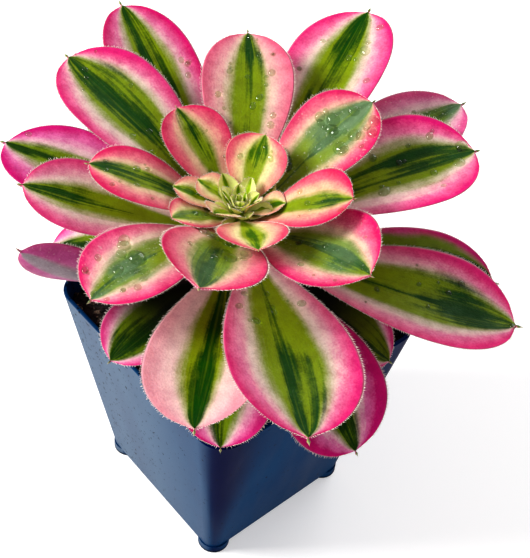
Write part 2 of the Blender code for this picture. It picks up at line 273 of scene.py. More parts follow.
leafShape = {
    "stepsAlong": 46,  # from the stem to the tip
    "stepsAcross": 20,  # over the upper face
    "stepsUnder": 10,  # over the underside
    "crowdTip": 1.25, "crowdMargin": 0.86,  # how closely the steps draw together there
    "acrossPlaces": (-1, -0.55, 0, 0.55, 1),  # of a ring's points, from margin to margin
    "ripple": 0.00025,  # height of the soft waves on the upper face, in metres
    "wavesAlong": 17, "wavesSlant": 2.5, "wavesAcross": 4,
    "seedStep": 7.31,  # from one leaf's streaks to the next one's
}

leafAges = {"heart_leaf": 3, "young_leaf": 11, "full_leaf": 27, "old_leaf": 99}  # each kind's last leaf

leafColours = {  # screen values for each kind of leaf
    "young_leaf": {"Deep Green": (58, 104, 2), "Olive": (142, 164, 26), "Body": (236, 222, 164),
                   "Flush": (238, 158, 146), "Margin": (226, 72, 108), "Rim": (244, 206, 176),
                   "Glaucous": (134, 158, 104), "Mauve Tint": (200, 110, 200),
                   "Underside": (232, 184, 142), "Keel": (170, 180, 110)},
    "full_leaf": {"Deep Green": (10, 66, 0), "Olive": (124, 146, 14), "Body": (230, 206, 194),
                  "Flush": (234, 120, 164), "Margin": (220, 24, 116), "Rim": (244, 196, 196),
                  "Glaucous": (118, 148, 108), "Mauve Tint": (200, 110, 200),
                  "Underside": (206, 120, 150), "Keel": (146, 150, 124)},
    "old_leaf": {"Deep Green": (12, 54, 0), "Olive": (106, 132, 12), "Body": (228, 202, 198),
                 "Flush": (228, 120, 174), "Margin": (208, 20, 122), "Rim": (240, 192, 202),
                 "Glaucous": (108, 138, 106), "Mauve Tint": (196, 100, 200),
                 "Underside": (176, 84, 134), "Keel": (150, 144, 148)},
}
leafColours["heart_leaf"] = {
    **leafColours["young_leaf"], "Deep Green": (96, 150, 6), "Olive": (176, 206, 40),
    "Body": (246, 254, 160), "Flush": (244, 244, 140), "Margin": (246, 226, 140),
    "Underside": (226, 236, 120), "Keel": (190, 214, 90),
}

leafLook = {  # what one leaf shows; the rest take the usual look
    "usual": {"Stripe": 0.40, "Shift": 0.0, "Blush": 0.5, "Bloom": 0.0, "Mauve": 0.0, "Dusk": 0.0,
              "Warm": 0.0},
    "heart": {"Stripe": 0.30, "Blush": -0.42},
    "leaf_01": {"Blush": -0.4}, "leaf_02": {"Blush": -0.4},
    "leaf_03": {"Blush": -0.35}, "leaf_04": {"Blush": -0.35},
    "leaf_05": {"Blush": 0.05, "Stripe": 0.34},
    "leaf_06": {"Blush": -0.1}, "leaf_07": {"Blush": 0.0}, "leaf_08": {"Blush": 0.15},
    "leaf_09": {"Stripe": 0.34, "Blush": 0.55},
    "leaf_10": {"Stripe": 0.34, "Blush": 0.55},
    "leaf_11": {"Blush": 0.55, "Bloom": 0.5},
    "leaf_12": {"Stripe": 0.32, "Blush": 0.55, "Bloom": 0.12, "Warm": 0.9},
    "leaf_13": {"Stripe": 0.30, "Blush": 0.5, "Warm": 0.8},
    "leaf_14": {"Stripe": 0.40, "Blush": 0.5, "Bloom": 0.35, "Warm": 0.6},
    "leaf_15": {"Stripe": 0.50, "Blush": 0.5, "Bloom": 1.0, "Warm": 0.6},
    "leaf_16": {"Stripe": 0.34, "Blush": 0.5, "Bloom": 0.08, "Warm": 0.7},
    "leaf_17": {"Stripe": 0.42, "Blush": 0.6, "Bloom": 0.5, "Warm": 0.5},
    "leaf_18": {"Stripe": 0.40, "Blush": 0.2, "Bloom": 0.08, "Warm": 0.3},
    "leaf_19": {"Stripe": 0.42, "Blush": 0.5, "Bloom": 0.75, "Warm": 0.3},
    "leaf_20": {"Stripe": 0.45, "Blush": 0.6, "Bloom": 0.06},
    "leaf_21": {"Stripe": 0.50, "Blush": 0.5, "Bloom": 0.06},
    "leaf_22": {"Stripe": 0.50, "Blush": 0.5, "Bloom": 0.06},
    "leaf_23": {"Stripe": 0.46},
    "leaf_24": {"Stripe": 0.38, "Blush": 0.4},
    "leaf_25": {"Stripe": 0.50},
    "leaf_26": {"Stripe": 0.46, "Blush": 0.6, "Mauve": 0.25},
    "leaf_27": {"Stripe": 0.36, "Shift": 0.05, "Blush": -0.14, "Mauve": 0.06},
    "leaf_28": {"Stripe": 0.44, "Blush": 0.25, "Bloom": 1.0},
    "leaf_29": {"Stripe": 0.36, "Blush": 0.55, "Mauve": 0.3},
    "leaf_30": {"Stripe": 0.36, "Blush": 1.0, "Mauve": 0.15, "Dusk": 0.3},
    "leaf_32": {"Stripe": 0.20, "Blush": 1.0, "Bloom": 0.35, "Mauve": 0.9, "Dusk": 0.3},
    "leaf_33": {"Stripe": 0.50, "Shift": -0.35, "Blush": 0.6, "Mauve": 0.5},
    "leaf_35": {"Dusk": 0.4},
    "leaf_38": {"Stripe": 0.70, "Blush": 0.4, "Dusk": 0.97},
    "leaf_40": {"Stripe": 0.62, "Blush": 0.4, "Dusk": 0.97},
}


def readRings(node):  # a leaf's rings of eight points from the stem to the tip, and the tip itself
    work = bmesh.new()
    work.from_mesh(node.data)
    bmesh.ops.remove_doubles(work, verts=work.verts, dist=1e-6)
    work.verts.ensure_lookup_table()
    beside = [{edge.other_vert(vert).index for edge in vert.link_edges} for vert in work.verts]
    places = np.array([vert.co[:] for vert in work.verts])
    work.free()
    for tip in (index for index, near in enumerate(beside) if len(near) == 8):
        levels, seen = [[tip]], {tip}
        while len(seen) < len(places):
            reached = set().union(*(beside[index] for index in levels[-1])) - seen
            levels.append(sorted(reached))
            seen |= reached
        if all(len(level) == 8 for level in levels[1:-1]):
            break
    else:
        return None
    rings = []
    for above, level in zip(levels, levels[1:]):
        if len(level) < 8:  # an attachment that lost a point takes the outline of the ring beside it
            rings.append(rings[-1] + places[level].mean(axis=0) - rings[-1].mean(axis=0))
            continue
        chain = [level[0]]
        while len(chain) < 8:
            last = chain[-1]
            chain.append(next(index for index in sorted(beside[last] & set(level) - set(chain))
                              if beside[index] & beside[last] & set(above)))
        ring = places[chain]
        if rings:  # turn it to lie point for point beside the ring before
            turns = [np.roll(way, step, axis=0) for way in (ring, ring[::-1]) for step in range(8)]
            ring = min(turns, key=lambda turned: np.linalg.norm(turned - rings[-1], axis=1).sum())
        rings.append(ring)
    rings = np.array(rings[::-1])
    widths = np.linalg.norm(rings[:, :4] - rings[:, 4:], axis=2).max(axis=0)
    rings = np.roll(rings, -int(widths.argmax()), axis=1)  # the margins are points 0 and 4
    middle = (rings[:, 0] + rings[:, 4]) / 2
    if (np.linalg.norm(rings[:, 2] - middle, axis=1).sum()
            > np.linalg.norm(rings[:, 6] - middle, axis=1).sum()):  # the upper face is points 0 to 4
        rings = np.roll(rings[:, ::-1], 1, axis=1)
    tip = places[tip]
    face = rings[:, 2] - rings[:, 6]
    right = np.cross(np.gradient(middle, axis=0), face)
    if (right * (rings[:, 4] - rings[:, 0])).sum() < 0:
        rings = rings[:, [4, 3, 2, 1, 0, 7, 6, 5]]
    return rings, tip


def smoothThrough(knots, values, wanted):  # a smooth curve through the values, read where wanted
    slopes = np.gradient(values, knots, axis=0)
    piece = np.clip(np.searchsorted(knots, wanted, side="right") - 1, 0, len(knots) - 2)
    span = (knots[piece + 1] - knots[piece])[:, None]
    share = ((wanted - knots[piece])[:, None]) / span
    start, end = values[piece], values[piece + 1]
    return ((1 + 2 * share) * (1 - share) ** 2 * start + share * (1 - share) ** 2 * span * slopes[piece]
            + share ** 2 * (3 - 2 * share) * end - share ** 2 * (1 - share) * span * slopes[piece + 1])


def leafSurface(rings, tip):  # how far along each row is, and fine grids over both faces
    tracks = np.concatenate([rings, np.repeat(tip[None, None], 8, axis=1)])
    middle = tracks.mean(axis=1)
    knots = np.concatenate([[0], np.cumsum(np.linalg.norm(np.diff(middle, axis=0), axis=1))])
    knots /= knots[-1]
    steps = np.linspace(0, 1, leafShape["stepsAlong"] + 1)
    along = 1 - (1 - steps) ** leafShape["crowdTip"]
    rows = smoothThrough(knots, tracks.reshape(len(tracks), -1), along).reshape(-1, 8, 3)
    knotsAcross = np.array(leafShape["acrossPlaces"])
    sweep = math.pi / 2
    faces = []
    for order, count in (((0, 1, 2, 3, 4), leafShape["stepsAcross"]),
                         ((0, 7, 6, 5, 4), leafShape["stepsUnder"])):
        across = (np.sin(np.linspace(-sweep, sweep, count + 1) * leafShape["crowdMargin"])
                  / math.sin(sweep * leafShape["crowdMargin"]))
        points = rows[:, order].transpose(1, 0, 2).reshape(5, -1)
        face = smoothThrough(knotsAcross, points, across).reshape(count + 1, -1, 3).transpose(1, 0, 2)
        faces.append((across, face))
    return along, faces


def closedFaces(rows, around):  # faces over rings of points that end in one last point, and the base
    faces = [(row * around + step, row * around + (step + 1) % around,
              (row + 1) * around + (step + 1) % around, (row + 1) * around + step)
             for row in range(rows - 1) for step in range(around)]
    faces += [((rows - 1) * around + step, (rows - 1) * around + (step + 1) % around, rows * around)
              for step in range(around)]
    return [*faces, tuple(range(around))[::-1]]


def storeValues(mesh, values, look):  # numbers for the material: one for each point, and the leaf's own
    look = {label: np.full(len(mesh.vertices), value) for label, value in look.items()}
    for name, numbers in {**values, **look}.items():
        attribute = mesh.attributes.new(f"leaf{name}", "FLOAT", "POINT")
        attribute.data.foreach_set("value", np.asarray(numbers, np.float32))


def newObject(name, data):
    made = bpy.data.objects.new(name, data)
    bpy.context.scene.collection.objects.link(made)
    return made


def placePiece(name, mesh, material, replaced=()):
    mesh.materials.clear()
    mesh.materials.append(material)
    mesh.shade_smooth()
    piece = newObject(name, mesh)
    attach(piece, "root")
    if replaced:
        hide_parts(*replaced)
    return piece


def newPiece(name, points, faces, material, replaced=()):
    mesh = bpy.data.meshes.new(name)
    mesh.from_pydata([tuple(point) for point in points], [], faces)
    mesh.update()
    return placePiece(name, mesh, material, replaced)


def makePlainLeaf(name, material, look):  # for a node whose mesh isn't in plain rings
    work = bmesh.new()
    work.from_mesh(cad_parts[name].data)
    bmesh.ops.remove_doubles(work, verts=work.verts, dist=1e-6)
    bmesh.ops.subdivide_edges(work, edges=work.edges, cuts=3, use_grid_fill=True)
    work.normal_update()
    work.verts.index_update()
    points = np.array([vert.co[:] for vert in work.verts])
    normals = np.array([vert.normal[:] for vert in work.verts])
    faces = [tuple(vert.index for vert in face.verts) for face in work.faces]
    work.free()
    centre = points.mean(axis=0)
    axes = np.linalg.svd(points - centre, full_matrices=False)[2]
    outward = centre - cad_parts["stem"].data.vertices[0].co
    lengthwise = axes[0] * (1 if axes[0] @ outward > 0 else -1)
    upward = axes[2] * (1 if axes[2][2] > 0 else -1)
    along = (points - centre) @ lengthwise
    along = (along - along.min()) / np.ptp(along)
    across = (points - centre) @ np.cross(lengthwise, upward)
    stretch = 0.05  # of the leaf, over which its width is measured
    for start in np.arange(0, 1, stretch):
        here = (along >= start) & (along <= start + stretch)
        if here.any():
            low, high = across[here].min(), across[here].max()
            across[here] = (across[here] - (low + high) / 2) / max((high - low) / 2, 1e-5)
    piece = newPiece(f"{name}_blade", points, faces, material, [name])
    onTop = (normals @ upward > 0) * 1.0
    storeValues(piece.data, {"Along": along, "Across": across, "Top": onTop}, look)


def makeLeaf(name, material):
    seed = int(name.split("_")[1]) * leafShape["seedStep"]
    look = {**leafLook["usual"], **leafLook.get(name, {}), "Seed": seed}
    found = readRings(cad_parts[name])
    if found is None:
        return makePlainLeaf(name, material, look)
    along, ((across, upper), (acrossUnder, under)) = leafSurface(*found)
    # soft waves, none at the margins or the ends
    wave = (np.sin(along[:, None] * leafShape["wavesAlong"] + seed + across[None] * leafShape["wavesSlant"])
            * np.cos(across[None] * leafShape["wavesAcross"] + seed))
    wave = wave * (1 - across[None] ** 2) * np.sin(along[:, None] * math.pi) ** 0.5
    lift = np.cross(np.gradient(upper, axis=1), np.gradient(upper, axis=0))
    lift /= np.linalg.norm(lift, axis=2, keepdims=True) + 1e-12
    upper = upper + lift * (wave * leafShape["ripple"])[..., None]
    upper[-1] = under[-1] = upper[-1].mean(axis=0)
    loops = np.concatenate([upper[:-1], under[:-1, 1:-1][:, ::-1]], axis=1)
    acrossLoop = np.concatenate([across, acrossUnder[1:-1][::-1]])
    rows, around = loops.shape[:2]
    points = np.concatenate([loops.reshape(-1, 3), upper[-1, :1]])
    piece = newPiece(f"{name}_blade", points, closedFaces(rows, around), material, [name])
    onTop = np.concatenate([np.ones(len(across)), np.zeros(around - len(across))])
    onTop[[0, len(across) - 1]] = 0.5
    storeValues(piece.data, {
        "Along": np.append(np.repeat(along[:-1], around), 1.0),
        "Across": np.append(np.tile(acrossLoop, rows), 0.0),
        "Top": np.append(np.tile(onTop, rows), 1.0),
    }, look)
    work = bmesh.new()
    work.from_mesh(piece.data)
    bmesh.ops.recalc_face_normals(work, faces=work.faces)
    work.to_mesh(piece.data)
    work.free()
    return along, across, upper


leafSkin = {
    "flesh": 0.12, "fleshDepth": 0.002, "fleshColour": (1.0, 0.45, 0.3),  # light under the skin
    "refraction": 1.17, "roughness": (0.3, 0.7, 0.36, 0.52),
    "mottle": (0.35, 0.7, 0.0, 0.4), "mottleTint": (204, 192, 198),
    "grain": (0.4, 0.7, 0.0, 0.35), "grainTint": (222, 208, 212),
    # the dew tint is a painted glint of the finest beads of water
    "dewScale": 1100.0, "dewEdge": (0.66, 0.72), "dewShare": 0.26, "dewGlint": (226, 232, 214),
    "veinRelief": 0.5, "reliefStrength": 0.35, "reliefDepth": 0.0004,
}


def makeLeafMaterial(kind):
    material, tree, shader = newMaterial(
        kind, Subsurface_Weight=leafSkin["flesh"], Subsurface_Radius=leafSkin["fleshColour"],
        Subsurface_Scale=leafSkin["fleshDepth"], IOR=leafSkin["refraction"])
    values = {label: readAttribute(tree, f"leaf{label}") for label in
              ("Along", "Across", "Top", "Seed", *leafLook["usual"])}
    colours = {label.replace(" ", "_"): tint(*value) for label, value in leafColours[kind].items()}
    place = objectPlace(tree)
    grain = useGroup(tree, fineGrain, Vector=place)
    # uneven edges between the bands
    uneven = addScaled(tree, grain["Mottle"], 0.5, times(tree, grain["Grain"], 0.5))
    bands = useGroup(tree, leafBands, Speckle=minus(tree, uneven, 0.5), **values, **colours)
    shade = bands["Color"]
    for label, effect in (("mottle", grain["Mottle"]), ("grain", grain["Grain"])):
        share = ramp(tree, effect, *leafSkin[label])
        shade = blendColours(tree, share, shade, tint(*leafSkin[f"{label}Tint"]), "MULTIPLY")
    # the finest beads of water, raised by the bump and painted pale as their glints
    dew = times(tree, ramp(tree, noise(tree, place, leafSkin["dewScale"], 1.0), *leafSkin["dewEdge"]),
                times(tree, values["Bloom"], leafSkin["dewShare"]))
    shade = blendColours(tree, dew, shade, tint(*leafSkin["dewGlint"]))
    feed(tree, shade, shader.inputs["Base Color"])
    feed(tree, ramp(tree, grain["Mottle"], *leafSkin["roughness"]), shader.inputs["Roughness"])
    relief = plus(tree, addScaled(tree, bands["Veins"], leafSkin["veinRelief"], grain["Grain"]), dew)
    addBump(tree, shader, relief, leafSkin["reliefStrength"], leafSkin["reliefDepth"])
    return material


leafMaterials = {kind: makeLeafMaterial(kind) for kind in leafColours}
leafGrids = {}
for name in sorted(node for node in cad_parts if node.startswith("leaf_")):
    number = int(name.split("_")[1])
    kind = next(kind for kind, last in leafAges.items() if number <= last)
    leafGrids[name] = makeLeaf(name, leafMaterials[kind])
leafGrids = {name: grid for name, grid in leafGrids.items() if grid}
print("leaves made:", len(leafGrids))

heartLeaves = {
    "count": 18, "lengths": (0.0044, 0.0140),  # metres, youngest to oldest
    "width": 0.60, "thick": 0.08, "foot": 0.4, "channel": 0.45,  # shares of the length and the width
    "opening": (9.0, 64.0), "curl": 30.0, "turn": 137.5,  # degrees
    # metres down from the growing point and out from the axis: the youngest, then what the oldest adds
    "seat": (0.0006, 0.0056), "outset": (0.0002, 0.0020),
    "stemStretch": (0.008, 0.022),  # of the stem, that gives the axis: metres from the growing point
    "rows": 15, "columns": 11,
    "bands": (0.3, 0.65),  # where the part of the bands that shows begins, and its length
    "seedStep": 3.7, "fringeSeed": 50,
}


def growingPoint():  # the top of the stem and the way it grows
    places = np.array([vert.co[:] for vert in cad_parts["stem"].data.vertices])
    top = places[places[:, 2].argmax()]
    below = np.linalg.norm(places - top, axis=1)
    near, far = heartLeaves["stemStretch"]
    lower = places[(below > near) & (below < far)].mean(axis=0)
    return Vector(top), Vector(top - lower).normalized()


def makeHeart():  # the tight bud of fringed leaves at the growing point
    top, axis = growingPoint()
    side = axis.orthogonal().normalized()
    points, faces, grids = [], [], []
    values = {"Along": [], "Across": [], "Seed": []}
    rows, wide = heartLeaves["rows"], heartLeaves["columns"]
    seat, outset, bands = (heartLeaves[label] for label in ("seat", "outset", "bands"))
    foot, channel = heartLeaves["foot"], heartLeaves["channel"]
    steps, across = np.linspace(0, 1, rows), np.linspace(-1, 1, wide)
    for number, share in enumerate(np.linspace(0, 1, heartLeaves["count"])):
        length = np.interp(share, (0, 1), heartLeaves["lengths"])
        opening = math.radians(np.interp(share, (0, 1), heartLeaves["opening"]))
        out = Matrix.Rotation(math.radians(heartLeaves["turn"] * number), 3, axis) @ side
        cross = axis.cross(out)
        place = top - axis * (seat[0] + seat[1] * share) + out * (outset[0] + outset[1] * share)
        grid, under = [], []
        for step in steps:
            lean = opening + math.radians(heartLeaves["curl"]) * (0.5 - step)  # the end curls in
            forward = axis * math.cos(lean) + out * math.sin(lean)
            inward = axis * math.sin(lean) - out * math.cos(lean)
            place = place + forward * (length * steps[1] * (step > 0))
            swell = math.sin(math.pi * min(step * 0.8, 1))
            half = length * heartLeaves["width"] / 2 * (foot + (1 - foot) * swell)
            half *= (1 - step ** 4) ** 0.6
            flesh = length * heartLeaves["thick"] * (1.1 - step)
            for row, depth in ((grid, 0), (under, flesh)):
                row.append([place + cross * (half * v)
                            + inward * (half * channel * v * v - depth * (1 - v * v)) for v in across])
        for face, order in ((grid, 1), (under, -1)):
            base = len(points)
            points += [corner[:] for row in face for corner in row]
            faces += [(base + row * wide + column, base + row * wide + column + 1,
                       base + (row + 1) * wide + column + 1, base + (row + 1) * wide + column)[::order]
                      for row in range(rows - 1) for column in range(wide - 1)]
            values["Along"] += np.repeat(bands[0] + bands[1] * steps, wide).tolist()
            values["Across"] += np.tile(across, rows).tolist()
            values["Seed"] += [heartLeaves["seedStep"] * number] * (rows * wide)
        grids.append((steps, across, np.array([[corner[:] for corner in row] for row in grid])))
    piece = newPiece("heart_leaves", points, faces, leafMaterials["heart_leaf"])
    storeValues(piece.data, values, {**leafLook["usual"], **leafLook["heart"], "Top": 1.0})
    return grids


heartGrids = makeHeart()
print("heart leaves made")

marginHair = {
    "spacing": 0.00062, "length": 0.00085, "radius": 0.00012,  # metres
    "lengths": (0.6, 1.25), "smallest": 0.5, "thinnest": 0.6,  # shares of the full size
    "fullSize": 0.03,  # the shortest leaf with hairs of full size, in metres
    "from": 0.14, "to": 0.965,  # shares of the margin between which it stands
    "lean": 0.45, "scatter": 0.3, "stray": 0.18,  # towards the tip, along the margin, and every way
    "pink": (255, 226, 224), "cream": (250, 244, 226), "patchScale": 300.0,
}


def coneRows(roots, ends, radii):  # a three-sided point from each root to its end
    way = ends - roots
    side = np.cross(way, (0.31, 0.17, 0.93))
    side /= np.linalg.norm(side, axis=1, keepdims=True) + 1e-12
    other = np.cross(way, side)
    other /= np.linalg.norm(other, axis=1, keepdims=True) + 1e-12
    corners = [roots + radii[:, None] * (side * math.cos(angle) + other * math.sin(angle))
               for angle in (0, 2.094, 4.189)]  # a third of a turn apart
    points = np.stack([*corners, ends], axis=1).reshape(-1, 3)
    faces = [tuple(4 * cone + corner for corner in face) for cone in range(len(roots))
             for face in ((0, 1, 3), (1, 2, 3), (2, 0, 3), (2, 1, 0))]
    return points, faces


def makeHairs(name, seed, grid, material):  # the pale fringe round a leaf
    _, _, upper = grid
    chance = np.random.default_rng(seed)
    size = min(1.0, np.linalg.norm(upper[-1, 0] - upper[0, 0]) / marginHair["fullSize"])
    short = marginHair["smallest"] + (1 - marginHair["smallest"]) * size
    thin = marginHair["thinnest"] + (1 - marginHair["thinnest"]) * size
    scatter = marginHair["scatter"]
    roots, ends = [], []
    for edge, inner in ((upper[:, 0], upper[:, 2]), (upper[:, -1], upper[:, -3])):
        run = np.concatenate([[0], np.cumsum(np.linalg.norm(np.diff(edge, axis=0), axis=1))])
        places = np.arange(run[-1] * marginHair["from"], run[-1] * marginHair["to"],
                           marginHair["spacing"] * short)
        places = places + chance.uniform(-scatter, scatter, len(places)) * marginHair["spacing"]
        root, inside, forward = (
            np.stack([np.interp(places, run, line[:, axis]) for axis in range(3)], axis=1)
            for line in (edge, inner, np.gradient(edge, axis=0)))
        out = root - inside
        out /= np.linalg.norm(out, axis=1, keepdims=True) + 1e-9
        forward /= np.linalg.norm(forward, axis=1, keepdims=True) + 1e-9
        way = out + forward * (marginHair["lean"] + chance.normal(0, scatter, (len(root), 1)))
        way += chance.normal(0, marginHair["stray"], way.shape)
        way /= np.linalg.norm(way, axis=1, keepdims=True)
        roots.append(root)
        ends.append(root + way * marginHair["length"] * short
                    * chance.uniform(*marginHair["lengths"], (len(root), 1)))
    roots, ends = np.concatenate(roots), np.concatenate(ends)
    points, faces = coneRows(roots, ends, np.full(len(roots), marginHair["radius"] * thin))
    newPiece(f"{name}_fringe", points, faces, material)


def makeHairMaterial():
    material, tree, shader = newMaterial("marginHair", Roughness=0.4)
    patches = noise(tree, objectPlace(tree), marginHair["patchScale"])
    feed(tree, blendColours(tree, patches, tint(*marginHair["pink"]), tint(*marginHair["cream"])),
         shader.inputs["Base Color"])
    return material


hairMaterial = makeHairMaterial()
for name, grid in leafGrids.items():
    makeHairs(name, int(name.split("_")[1]), grid, hairMaterial)
for number, grid in enumerate(heartGrids):
    makeHairs(f"heart_{number}", heartLeaves["fringeSeed"] + number, grid, hairMaterial)
print("margins fringed")

waterDrops = {  # leaf: how many, the widest in metres, and the stretch of the leaf they lie on
    "leaf_11": (6, 0.0010, 0.3, 0.9), "leaf_12": (10, 0.0010, 0.3, 0.9),
    "leaf_13": (5, 0.0009, 0.3, 0.9), "leaf_14": (18, 0.0019, 0.3, 0.62),
    "leaf_15": (24, 0.0022, 0.35, 0.88), "leaf_16": (9, 0.0012, 0.4, 0.9),
    "leaf_17": (12, 0.0010, 0.3, 0.9), "leaf_18": (22, 0.0011, 0.3, 0.95),
    "leaf_19": (18, 0.0017, 0.35, 0.95), "leaf_20": (14, 0.0019, 0.4, 0.95),
    "leaf_21": (14, 0.0012, 0.4, 0.95), "leaf_22": (10, 0.0012, 0.25, 0.5),
    "leaf_23": (14, 0.0016, 0.3, 0.95), "leaf_25": (9, 0.0010, 0.4, 0.95),
    "leaf_26": (8, 0.0012, 0.4, 0.9), "leaf_28": (10, 0.0017, 0.4, 0.9),
    "leaf_29": (4, 0.0011, 0.4, 0.9), "leaf_10": (5, 0.0010, 0.6, 0.9),
}
bigDrop = {"leaf": "leaf_19", "along": 0.62, "across": 0.12, "radius": 0.0028}  # radius in metres
dropForm = {
    "rows": 5, "around": 14, "rise": 0.62, "top": 0.6, "sunk": 0.25,  # heights are shares of the radius
    "stretch": (1.0, 1.35), "spread": 0.7,  # longer than wide, and how near the margins they lie
    "smallest": 0.35, "range": 0.85, "rarity": 1.4,  # shares of the widest; larger drops are rarer
    "seed": 11,
    # the colour tints the water darker than clear water: painted shade for the dark a drop shows by
    # refraction
    "colour": (0.42, 0.50, 0.34, 1.0), "roughness": 0.04, "refraction": 1.42,
}


def dropShape(place, normal, radius, stretch, spin):  # a bead that sits flat on the leaf
    turn = normal.to_track_quat("Z", "Y").to_matrix() @ Matrix.Rotation(spin, 3, "Z")
    rows, around = dropForm["rows"], dropForm["around"]
    points = []
    for row in range(rows):
        angle = math.pi / 2 * row / rows - dropForm["sunk"]
        for step in range(around):
            heading = 2 * math.pi * step / around
            points.append(place + turn @ Vector((radius * stretch * math.cos(angle) * math.cos(heading),
                                                 radius * math.cos(angle) * math.sin(heading),
                                                 radius * dropForm["rise"] * math.sin(angle))))
    points.append(place + turn @ Vector((0, 0, radius * dropForm["top"])))
    return points, closedFaces(rows, around)


def makeDrops(material):
    chance = random.Random(dropForm["seed"])
    spread, smallest, more = (dropForm[label] for label in ("spread", "smallest", "range"))
    points, faces = [], []
    wanted = [tuple(bigDrop.values())]
    for name, (count, widest, first, last) in waterDrops.items():
        wanted += [(name, chance.uniform(first, last), chance.uniform(-spread, spread),
                    widest * (smallest + more * chance.random() ** dropForm["rarity"]))
                   for _ in range(count)]
    for name, alongPlace, acrossPlace, radius in wanted:
        if name not in leafGrids:
            continue
        along, across, upper = leafGrids[name]
        row = min(int(np.searchsorted(along, alongPlace)), len(along) - 2)
        column = min(max(int(np.searchsorted(across, acrossPlace)), 1), len(across) - 2)
        normal = Vector(np.cross(upper[row, column + 1] - upper[row, column - 1],
                                 upper[row + 1, column] - upper[row - 1, column])).normalized()
        stretch, spin = chance.uniform(*dropForm["stretch"]), chance.uniform(0, math.pi)
        beadPoints, beadFaces = dropShape(Vector(upper[row, column]), normal, radius, stretch, spin)
        base = len(points)
        points += beadPoints
        faces += [tuple(base + corner for corner in face) for face in beadFaces]
    newPiece("water_drops", points, faces, material)


def makeWaterMaterial():  # lets the lamps through, so that a drop doesn't darken its leaf
    material, tree, shader = newMaterial(
        "water", Base_Color=dropForm["colour"], Roughness=dropForm["roughness"],
        IOR=dropForm["refraction"], Transmission_Weight=1.0)
    clear = tree.nodes.new("ShaderNodeBsdfTransparent")
    mix = tree.nodes.new("ShaderNodeMixShader")
    feed(tree, tree.nodes.new("ShaderNodeLightPath").outputs["Is Shadow Ray"], mix.inputs[0])
    feed(tree, shader.outputs[0], mix.inputs[1])
    feed(tree, clear.outputs[0], mix.inputs[2])
    feed(tree, mix.outputs[0], tree.nodes["Material Output"].inputs["Surface"])
    return material


makeDrops(makeWaterMaterial())
print("water drops laid")

potLook = {
    "plastic": (0, 44, 84), "faded": (12, 60, 100), "dust": (92, 106, 120),  # screen values
    # on the next row, all but the speck colour are painted light and shade: a pale sheen for the front
    # face, shade for the upright corners and a contact shadow along the base
    "paintedSheen": (96, 112, 130), "corner": (0, 8, 56), "speck": (6, 5, 6), "contactShadow": (2, 6, 20),
    "roughness": (0.3, 0.7, 0.36, 0.55), "refraction": 1.08, "relief": (0.12, 0.0006),
    "edgeRound": 0.0003, "edgeSteps": 3, "edgeAngle": 35,  # metres, rows and degrees
    "halfSides": (0.033, 0.0464), "height": 0.09,  # at the base and the rim, in metres
    "cornerShadeWidths": (0.006, 0.027),  # of the darker band at a corner, at the base and the rim
    # ramps, given as from, to, and what they give at those two places; x, y and z are in metres
    "fadedRuns": (0.36, 0.66, 0.0, 0.85), "runScales": (60.0, 60.0, 9.0),
    "paintedSheenFront": (-0.98, -0.75, 1.0, 0.0), "paintedSheenRuns": (0.25, 0.7, 0.55, 0.95),
    "paintedSheenRight": (-0.02, 0.045, 1.0, 0.35),
    "dustSpots": (0.62, 0.74, 0.0, 0.18), "dustScale": 900.0,
    "cornerShadeFront": (-0.95, -0.6, 0.4, 1.0), "cornerShadeSoft": (0.2, 1.0, 1.0, 0.0),
    "cornerShadeLeft": (-0.02, 0.02, 0.3, 1.0),
    "specksLeft": (-0.09, 0.0, 0.0, 0.06), "speckSpots": (0.622, 0.65, 0.0, 0.95), "speckScale": 640.0,
    "contactShadowReach": (0.0004, 0.0016, 0.8, 0.0),
}
soilLook = {
    "dark": (9, 7, 6), "brown": (44, 33, 24), "pale": (134, 120, 98),  # screen values
    "brownSpots": (0.4, 0.7), "paleSpots": (0.66, 0.76), "relief": (0.9, 0.0012),
    "lumpHeight": 0.00042, "lumpScale": 1500.0, "seed": 1.7, "edge": 0.004,
}
stemLook = {
    "bark": (72, 62, 40), "scar": (120, 112, 80), "deep": (30, 25, 17), "young": (150, 168, 60),
    "scarScale": 210.0, "scarEdge": (0.25, 0.5, 1.0, 0.0), "scarShare": 0.6, "relief": (0.6, 0.0008),
    "greenLength": 0.026, "greenFull": 0.3,  # metres from the top, and the share that is all green
    "lumpHeight": 0.00015, "lumpScale": 900.0, "seed": 0.6, "edge": 0.002,
}


def refinedCopy(nodeName, name, material, flatten=0.0):  # a clean mesh that stands for a node
    mesh = bpy.data.meshes.new(name)
    work = bmesh.new()
    work.from_mesh(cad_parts[nodeName].data)
    bmesh.ops.remove_doubles(work, verts=work.verts, dist=1e-6)
    if flatten:
        bmesh.ops.dissolve_limit(work, angle_limit=flatten, verts=work.verts, edges=work.edges)
    work.to_mesh(mesh)
    work.free()
    return placePiece(name, mesh, material, [nodeName])


def addModifier(piece, kind, **settings):
    modifier = piece.modifiers.new(kind.lower(), kind)
    for name, value in settings.items():
        setattr(modifier, name, value)
    return modifier


def applyModifiers(piece):
    mesh = bpy.data.meshes.new_from_object(piece.evaluated_get(bpy.context.evaluated_depsgraph_get()))
    piece.modifiers.clear()
    piece.data = mesh


